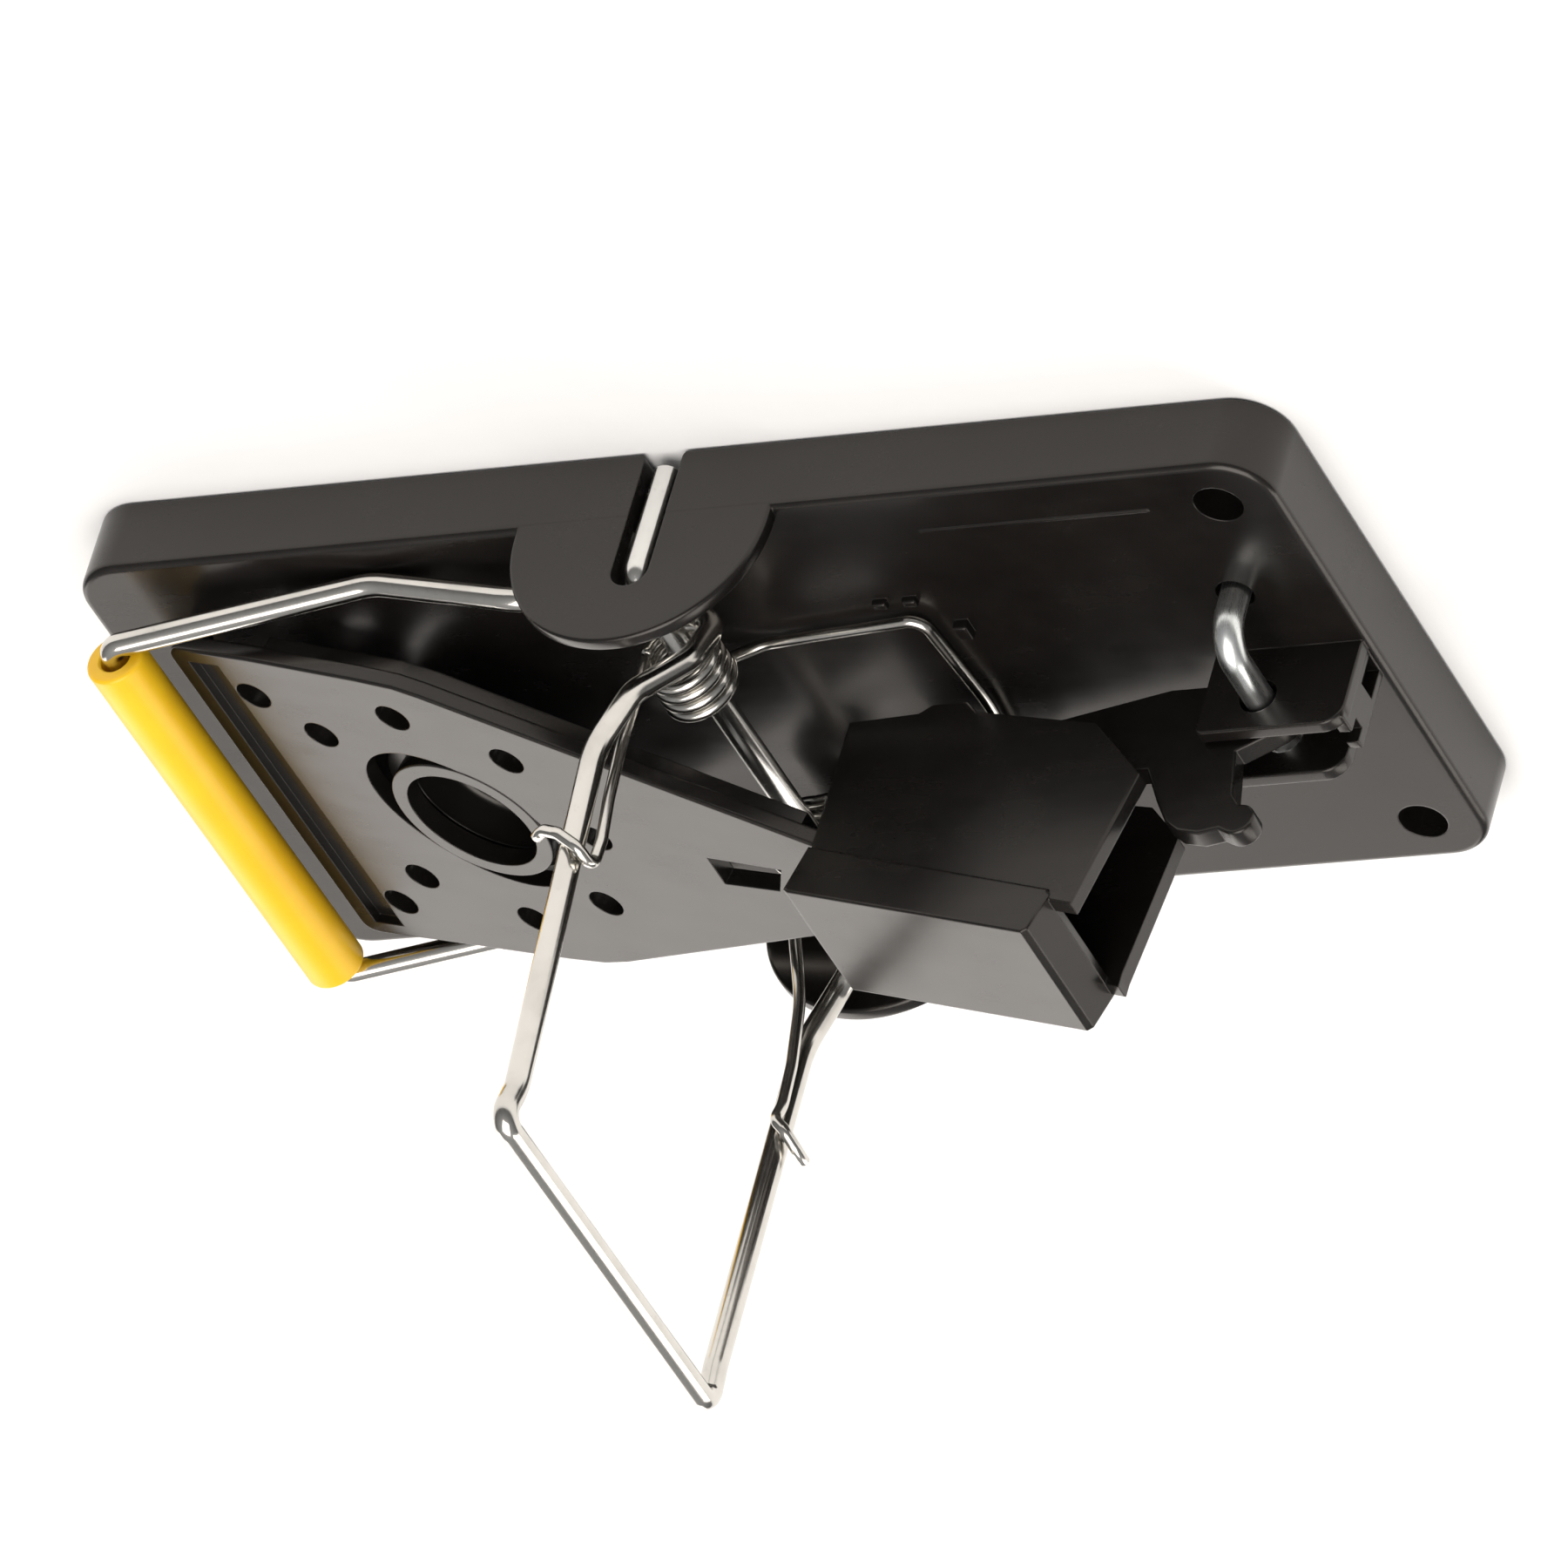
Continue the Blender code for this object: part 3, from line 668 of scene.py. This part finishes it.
def add_bracket(body):
    """Two upright walls for the hinge pin and the slotted wall behind them."""
    near = bracket_outline(*NEAR_WALL_X, NEAR_WALL_TOP)
    far = bracket_outline(*FAR_WALL_X, FAR_WALL_TOP)
    add(body, prism("near_wall", near, *BRACKET_NEAR, along_y, BRACKET_EDGE))
    add(body, prism("far_wall", far, *BRACKET_FAR, along_y, BRACKET_EDGE))
    upright = (DECK_TOP - 0.9, REAR_WALL_TOP)
    add(body, box("rear", REAR_WALL_X, REAR_WALL_Y, upright, BRACKET_EDGE))
    through = (REAR_WALL_X[0] - 1.0, REAR_WALL_X[1] + 1.0)
    cut(body, box("rear_slot", through, REAR_SLOT_Y, (DECK_TOP + 0.1, REAR_SLOT_TOP)))
    cut(body, box("rear_notch", through, REAR_NOTCH_Y, REAR_NOTCH_Z))
    hole = circle(PIN_X, PIN_Z, PIN_HOLE_R)
    cut(body, prism("pin_hole", hole, BRACKET_NEAR[0] - 1.0, BRACKET_FAR[1] + 1.0, along_y))


def add_spring_lugs(body):
    """Low moulded blocks that locate the corners of the spring's ground loop."""
    for side in (-1, 1):
        across = sorted(side * y for y in LUG_BEHIND_Y)
        upright = (DECK_TOP - 0.5, LUG_BEHIND_TOP)
        add(body, box("lug", LUG_BEHIND_X, across, upright, SMALL_EDGE))
        across = sorted(side * y for y in LUG_SIDE_Y)
        upright = (DECK_TOP - 0.5, LUG_SIDE_TOP)
        for start in LUG_SIDE_STARTS:
            add(body, box("lug", (start, start + LUG_SIDE_LONG), across, upright, SMALL_EDGE))


def add_mould_line(body):
    """Hairline witness mark of the mould along the near side of the deck."""
    across = (-SEAM_Y - SEAM_HALF, -SEAM_Y + SEAM_HALF)
    add(body, box("seam", SEAM_X, across, (DECK_TOP - 0.4, DECK_TOP + SEAM_HIGH), SEAM_EDGE))


def make_base(mat):
    """Base moulding with its ears, bracket, lugs and the holes through its deck."""
    body = base_slab()
    for side in (-1, 1):
        add_ear(body, side)
    add_bracket(body)
    add_spring_lugs(body)
    add_mould_line(body)
    for side in (-1, 1):
        hole = circle(NAIL_HOLE_X, side * NAIL_HOLE_Y, NAIL_HOLE_R)
        cut(body, prism("nail_hole", hole, 2.0, DECK_TOP + 1.0, along_z))
    foot = circle(*PIN_FOOT, PIN_HOLE_R)
    cut(body, prism("foot_hole", foot, 2.0, DECK_TOP + 1.0, along_z))
    return dress(body, mat, "base_body", "base", 32)


# ---------------------------------------------------------------- treadle

def plate_outline():
    """Plan of the treadle plate: straight front, tapering towards the housing."""
    r = PLATE_CORNER_R
    front = PLATE_FRONT
    half = PLATE_HALF_FRONT
    near = [(-9.2, -3.2), (21.5, -15.9), (23.6, -16.6), (27.0, -17.0), (37.0, -17.7)]
    far = [(37.0, 17.7), (25.0, 17.6), (21.5, 17.4), (19.0, 16.8), (-3.2, 9.1), (-9.2, 9.1)]
    round_near = arc(front - r, -half + r, r, 270, 360, 8)
    round_far = arc(front - r, half - r, r, 0, 90, 8)
    return near + round_near + round_far + far


def rib_outline():
    """Plan of the rib under the plate, before it is set in from the plate's edge."""
    return [
        (-7.6, -3.5), (21.5, -15.9), (24.5, -16.8), (RIB_FRONT, -17.6),
        (RIB_FRONT, 17.6), (21.5, 17.4), (-3.2, 9.1), (-7.6, 8.4),
    ]


def make_plate():
    """Flat pedal with its stiffening rib and the two feet under its front edge."""
    body = prism("treadle_moulding", plate_outline(), -PLATE_THICK, 0.0, plate_point, PLATE_EDGE)
    outer = inset(rib_outline(), RIB_INSET)
    inner = inset(rib_outline(), RIB_INSET + RIB_THICK)
    rib = prism("rib", outer, -RIB_DROP, -PLATE_THICK + 0.4, plate_point)
    cut(rib, prism("rib_inside", inner, -RIB_DROP - 1.0, 1.0, plate_point))
    add(body, rib)
    for side in (-1, 1):
        across = sorted(side * y for y in FOOT_Y)
        add(body, box("foot", FOOT_X, across, FOOT_Z, SMALL_EDGE))
    return body


def cut_hole(body, u, v):
    """Drain hole square through the plate."""
    outline = circle(u, v, RING_HOLE_R, SMALL_HOLE_STEPS)
    cut(body, prism("hole", outline, -RIB_DROP - 0.5, 1.0, plate_point))


def cut_plate_openings(body):
    """Slanting oval with its bait mouth, drain holes and front channel."""
    oval = []
    diag = math.sqrt(0.5)
    for across, along in circle(0.0, 0.0, 1.0, TURNED_SIDES):
        long_way = OVAL_LONG * across
        short_way = OVAL_SHORT * along
        oval.append((OVAL_U + (long_way + short_way) * diag, (short_way - long_way) * diag))
    cut(body, prism("oval", oval, -RIB_DROP, 1.0, plate_point))
    ring = circle(CUP_U, 0.0, MOUTH_RING_R, TURNED_SIDES)
    below = -PLATE_THICK - MOUTH_PROUD
    add(body, prism("mouth_ring", ring, below, MOUTH_PROUD, plate_point, MOUTH_EDGE))
    mouth = circle(CUP_U, 0.0, MOUTH_R, TURNED_SIDES)
    cut(body, prism("mouth", mouth, -RIB_DROP - 0.3, 1.0, plate_point))
    for k in range(1, 8):
        a = math.radians(45.0 * k)
        cut_hole(body, RING_U + RING_R * math.cos(a), RING_R * math.sin(a))
    u0, u1 = CHANNEL_U
    groove = [(u0, -CHANNEL_HALF), (u1, -CHANNEL_HALF), (u1, CHANNEL_HALF), (u0, CHANNEL_HALF)]
    cut(body, prism("channel", groove, -CHANNEL_DEEP, 1.0, plate_point))
    for side in (-1, 1):
        cut_hole(body, CHANNEL_HOLE[0], side * CHANNEL_HOLE[1])


def make_housing():
    """Hood with closed top and front, open behind and below."""
    walls = [
        (-8.6, 23.4), (-8.7, 10.9), (-14.5, 10.6), (-15.5, 9.9), (-18.5, 9.9), (-19.5, 10.9),
        (-30.0, 13.0), (-34.9, 18.2), (-32.2, 30.0), (-30.0, 29.4), (-28.6, 28.8),
    ]
    hood = [
        (-7.4, 26.6), (-7.8, 26.9), (-28.8, 32.5), (-29.3, 32.2), (-30.3, 29.2), (-30.1, 28.6),
        (-8.5, 22.7),
    ]
    body = prism("housing", walls, HOUSE_NEAR, HOUSE_FAR, along_y, SMALL_EDGE)
    near = HOUSE_NEAR - HOUSE_PROUD
    far = HOUSE_FAR + HOUSE_PROUD
    add(body, prism("hood", hood, near, far, along_y, SMALL_EDGE))
    inside = [
        (-10.0, 25.6), (-27.8, 30.6), (-28.4, 28.7), (-30.2, 28.7), (-30.45, 32.0), (-37.0, 32.0),
        (-37.0, 5.0), (-10.0, 5.0),
    ]
    cavity = prism("inside", inside, HOUSE_NEAR + HOUSE_WALL, HOUSE_FAR - HOUSE_WALL, along_y)
    cut(body, cavity)
    shorter = [(-38.0, 8.0), (-31.0, 8.0), (-33.0, 15.5), (-31.4, 28.6), (-31.4, 32.0), (-38.0, 32.0)]
    return cut(body, prism("far_wall_end", shorter, 4.0, HOUSE_FAR + 1.0, along_y))


def make_hinge_arm():
    """Web from the housing front to the pin boss, with the catch horn on top."""
    boss = arc(PIN_X, PIN_Z, BOSS_R, 270, 115, 30)
    horn = [(-40.9, 14.8), (-41.6, 18.8)]
    horn += arc(CATCH_X, CATCH_Z, CATCH_R, 280, 60, 24)
    horn += [(-41.2, 22.0), (-39.6, 22.3), (-37.8, 21.9), (-36.6, 21.0), (-35.4, 19.0), (-33.8, 15.9)]
    front = [(-9.3, 15.4), (-9.3, 11.4), (-24.0, 10.6), (-34.0, 8.4)]
    return prism("arm", boss + horn + front, ARM_Y[0], ARM_Y[1], along_y, SMALL_EDGE)


def make_treadle(mat):
    """Plate, housing and hinge arm as one moulding, with its openings."""
    body = make_plate()
    cut_plate_openings(body)
    add(body, make_housing())
    add(body, make_hinge_arm())
    notch = [(-2.3, 3.6), (2.9, 3.7), (2.9, 0.5), (-3.9, 0.7)]
    cut(body, prism("notch", notch, -2.5, 1.0, plate_point))
    hole = circle(PIN_X, PIN_Z, PIN_HOLE_R)
    cut(body, prism("arm_hole", hole, ARM_Y[0] - 1.0, ARM_Y[1] + 1.0, along_y))
    return dress(body, mat, "treadle_body", "treadle", 32)


def make_bait_cup(mat):
    """Round cup with a flange, standing square to the treadle plate."""
    e = CUP_EDGE
    under = CUP_TOP - CUP_FLANGE
    floor = -CUP_DEPTH + CUP_FLOOR
    profile = [
        (CUP_OUTER - CUP_CORNER, -CUP_DEPTH), (CUP_OUTER - 0.25, -CUP_DEPTH + 0.25),
        (CUP_OUTER, -CUP_DEPTH + CUP_CORNER), (CUP_OUTER, under - e), (CUP_OUTER + e, under),
        (CUP_FLANGE_R - e, under), (CUP_FLANGE_R, under + e), (CUP_FLANGE_R, CUP_TOP - e),
        (CUP_FLANGE_R - e, CUP_TOP), (CUP_INNER + e, CUP_TOP), (CUP_INNER, CUP_TOP - e),
        (CUP_INNER, floor + 0.6), (CUP_INNER - 0.2, floor + 0.2), (CUP_INNER - 0.6, floor),
    ]
    rings = []
    for radius, w in profile:
        rings.append([plate_point(u, v, w) for u, v in circle(CUP_U, 0.0, radius, TURNED_SIDES)])
    body = loft("bait_cup_moulding", rings)
    return dress(body, mat, "treadle_body", "bait_cup", 50)


# ---------------------------------------------------------------- wires

def make_axle(mat):
    """Straight rod whose two ends are bent down in the ear slots."""
    y = AXLE_BEND_Y
    corners = [
        (AXLE_X, -y, AXLE_TIP_Z), (AXLE_X, -y, AXLE_Z),
        (AXLE_X, y, AXLE_Z), (AXLE_X, y, AXLE_TIP_Z),
    ]
    body = wire("axle_wire", bend_path(corners, [1.3, 1.3]), AXLE_R)
    return dress(body, mat, "base_body", "axle", 50)


def make_hinge_pin(mat):
    """Pin through the bracket and the treadle arm, its near end bent down into the deck."""
    corners = [
        (PIN_X, PIN_END_Y, PIN_Z), (PIN_X, PIN_FOOT[1], PIN_Z), (*PIN_FOOT, PIN_TIP_Z),
    ]
    body = wire("hinge_pin_wire", bend_path(corners, [2.6]), PIN_R, THICK_WIRE_SIDES)
    return dress(body, mat, "base_body", "hinge_pin", 50)


def striker_half(side):
    """Corner points and bend radii from the kill bar to the top of the frame."""
    shoulder = 18.3 if side < 0 else 17.5
    corners = [
        (BAR_X, 0.6, BAR_Z), (BAR_X, ARM_HALF, BAR_Z), (24.5, ARM_HALF, 7.8), (12.0, 20.0, 10.2),
        (5.5, 17.6, 9.2), (0.6, 15.4, 8.2), (-2.9, 15.3, 10.4), (-2.6, 16.6, 14.6),
        (0.3, 18.4, 18.8), (2.0, 18.5, 24.0), (0.65, 17.3, 54.6), (0.5, shoulder, 57.95),
    ]
    radii = [1.15, 6.0, 5.0, 4.0, 2.2, 2.2, 3.0, 4.0, 9.0, 5.0, 1.3]
    return [(x, side * y, z) for x, y, z in corners], radii


def make_striker(mat):
    """One bent wire: kill bar, two arms that pass under the axle, and the raised frame."""
    near, radii = striker_half(-1)
    far, _ = striker_half(1)
    corners = near + far[::-1]
    path = bend_path(corners, radii + radii[::-1])
    body = wire("striker_wire", path, WIRE_R, THICK_WIRE_SIDES)
    return dress(body, mat, "striker_body", "striker", 50)


def make_sleeve(mat):
    """Tube with eased ends on the kill bar."""
    sides = TURNED_SIDES
    end = SLEEVE_HALF
    e = SLEEVE_EDGE
    bore = SLEEVE_BORE_EDGE
    profile = [(SLEEVE_BORE, -end + bore), (SLEEVE_BORE + bore, -end)]
    profile += [(SLEEVE_R - e + r, -end + e + y) for r, y in arc(0.0, 0.0, e, -90, 0, 6)]
    profile += [(SLEEVE_R - e + r, end - e + y) for r, y in arc(0.0, 0.0, e, 0, 90, 6)]
    profile += [(SLEEVE_BORE + bore, end), (SLEEVE_BORE, end - bore)]
    rings = []
    for radius, y in profile:
        rings.append([(x, y, z) for x, z in circle(BAR_X, BAR_Z, radius, sides)])
    verts = [p for ring in rings for p in ring]
    faces = []
    for k in range(len(rings)):
        low = k * sides
        high = ((k + 1) % len(rings)) * sides
        for i in range(sides):
            j = (i + 1) % sides
            faces.append([low + i, low + j, high + j, high + i])
    body = mesh_object("sleeve_tube", verts, faces)
    return dress(body, mat, "sleeve_body", "kill_bar_sleeve", 40)


def coil_points(side):
    """Helix from the inner end at the bottom to the outer end at the front."""
    total = int(COIL_STEPS * COIL_TURNS)
    out = []
    for k in range(total + 1):
        turn = COIL_TURNS * k / total
        a = math.radians(-90.0 + 360.0 * turn)
        y = side * (COIL_IN_Y + COIL_PITCH * turn)
        out.append(Vector((COIL_X + COIL_R * math.cos(a), y, COIL_Z + COIL_R * math.sin(a))))
    return out


def make_spring(mat):
    """Both coils and the ground loop that joins them across the deck."""
    deck = DECK_TOP + SPRING_R + 0.35
    loop = [
        (COIL_X - 0.6, -COIL_IN_Y, COIL_Z - COIL_R), (-3.4, -9.0, deck), (-17.0, -10.2, deck),
        (-17.9, 0.0, deck), (-17.0, 10.2, deck), (-3.4, 9.0, deck),
        (COIL_X - 0.6, COIL_IN_Y, COIL_Z - COIL_R),
    ]
    path = coil_points(-1)[::-1] + bend_path(loop, [4.0, 1.4, 20.0, 1.4, 4.0]) + coil_points(1)
    body = wire("torsion_spring_wire", path, SPRING_R, SPRING_SIDES)
    return dress(body, mat, "base_body", "torsion_spring", 60)


def leg_corners(side):
    """Leg from the coil up the inner side of the frame, then its hook round the wire."""
    leg = [(COIL_X + COIL_R, 13.3, COIL_Z + 0.35), (3.0, 14.0, 15.5), (1.7, 15.9, 21.5)]
    if side < 0:
        hook = [
            (0.75, 16.7, 27.5), (-0.1, 17.2, 31.8), (-0.3, 17.6, 34.6), (0.2, 19.5, 34.1),
            (1.9, 19.95, 33.0), (3.6, 19.5, 32.2), (4.5, 18.8, 32.3),
        ]
        radii = [9, 12, 12, 6, 0.9, 0.9, 1.5, 1.2]
    else:
        hook = [
            (1.15, 16.45, 27.3), (1.0, 16.55, 31.0), (1.25, 16.45, 32.3), (0.3, 16.8, 33.2),
            (-0.2, 18.0, 33.9), (-0.5, 19.4, 34.4),
        ]
        radii = [9, 12, 9, 4, 0.9, 0.9, 1.5]
    return [(x, side * y, z) for x, y, z in leg + hook], radii


def make_spring_leg(name, side, node, mat):
    """Moving end of the spring."""
    path = bend_path(*leg_corners(side))
    body = wire(name, path, SPRING_R, SPRING_SIDES)
    return dress(body, mat, "striker_body", node, 60)


# ---------------------------------------------------------------- stage

def make_floor():
    """Flat sheet that the object stands on."""
    half = FLOOR_HALF
    corners = [(-half, -half, 0), (half, -half, 0), (half, half, 0), (-half, half, 0)]
    mesh = bpy.data.meshes.new("floor")
    mesh.from_pydata(corners, [], [(0, 1, 2, 3)])
    floor = bpy.data.objects.new("floor", mesh)
    floor.data.materials.append(floor_paper("floor_paper"))
    bpy.context.scene.collection.objects.link(floor)


def add_softbox(name, direction, distance, width, height, watts):
    """Rectangular area light that faces the middle of the object."""
    light = bpy.data.lights.new(name, "AREA")
    light.shape = "RECTANGLE"
    light.size = width
    light.size_y = height
    light.energy = watts
    light.color = LAMP_WHITE
    item = bpy.data.objects.new(name, light)
    away = Vector(direction).normalized()
    item.location = Vector(LIT_POINT) + away * distance
    item.rotation_euler = away.to_track_quat("Z", "Y").to_euler()
    bpy.context.scene.collection.objects.link(item)


def make_world():
    """Soft grey surroundings, darker towards the horizon."""
    world = bpy.data.worlds.new("studio")
    world.use_nodes = True
    tree = world.node_tree
    background = tree.nodes["Background"]
    coordinates = tree.nodes.new("ShaderNodeTexCoord")
    split = tree.nodes.new("ShaderNodeSeparateXYZ")
    height = tree.nodes.new("ShaderNodeMapRange")
    height.inputs["From Min"].default_value = 0.0
    height.inputs["From Max"].default_value = 0.9
    height.inputs["To Min"].default_value = HORIZON_LIGHT
    height.inputs["To Max"].default_value = OVERHEAD_LIGHT
    tree.links.new(coordinates.outputs["Generated"], split.inputs["Vector"])
    tree.links.new(split.outputs["Z"], height.inputs["Value"])
    tree.links.new(height.outputs["Result"], background.inputs["Color"])
    background.inputs["Strength"].default_value = 1.0
    bpy.context.scene.world = world


def make_camera():
    """Long lens; the object is shown the other way up, so the camera is rolled over."""
    lens = bpy.data.cameras.new("camera")
    lens.lens = CAMERA_LENS
    lens.sensor_width = SENSOR_WIDTH
    lens.clip_start = 0.05
    lens.clip_end = 20.0
    camera = bpy.data.objects.new("camera", lens)
    right = Vector(CAMERA_RIGHT).normalized()
    up = Vector(CAMERA_UP).normalized()
    back = right.cross(up)
    turn = Matrix((right, up, back)).transposed().to_4x4()
    camera.matrix_world = Matrix.Translation(CAMERA_PLACE) @ turn
    bpy.context.scene.collection.objects.link(camera)
    bpy.context.scene.camera = camera


def build():
    """Make every piece with its material, then the floor, lights and camera."""
    make_base(black_plastic("base_plastic", *BASE_BLACK, 0.24))
    make_treadle(black_plastic("treadle_plastic", *TREADLE_BLACK, 0.24))
    make_bait_cup(black_plastic("cup_plastic", *CUP_BLACK, 0.30))
    make_axle(drawn_wire("axle_steel", *AXLE_STEEL, 0.20))
    make_hinge_pin(drawn_wire("pin_zinc", *PIN_ZINC, 0.27))
    make_striker(drawn_wire("striker_nickel", *NICKEL, 0.14))
    make_sleeve(yellow_plastic("sleeve_yellow", *SLEEVE_YELLOW))
    spring = drawn_wire("spring_nickel", *SPRING_NICKEL, 0.15)
    make_spring(spring)
    make_spring_leg("near_leg_wire", -1, "spring_leg_near", spring)
    make_spring_leg("far_leg_wire", 1, "spring_leg_far", spring)
    make_floor()
    add_softbox("back_softbox", (0.60, 0.70, 0.29), 1.0, 1.1, 0.64, 5.2)
    add_softbox("top_softbox", (-0.15, -0.25, 1.0), 1.2, 1.1, 1.1, 15.0)
    add_softbox("left_strip", (-0.62, 0.66, 0.42), 1.1, 0.35, 0.9, 3.0)
    make_world()
    make_camera()
    bpy.context.scene.view_settings.view_transform = "Standard"


build()
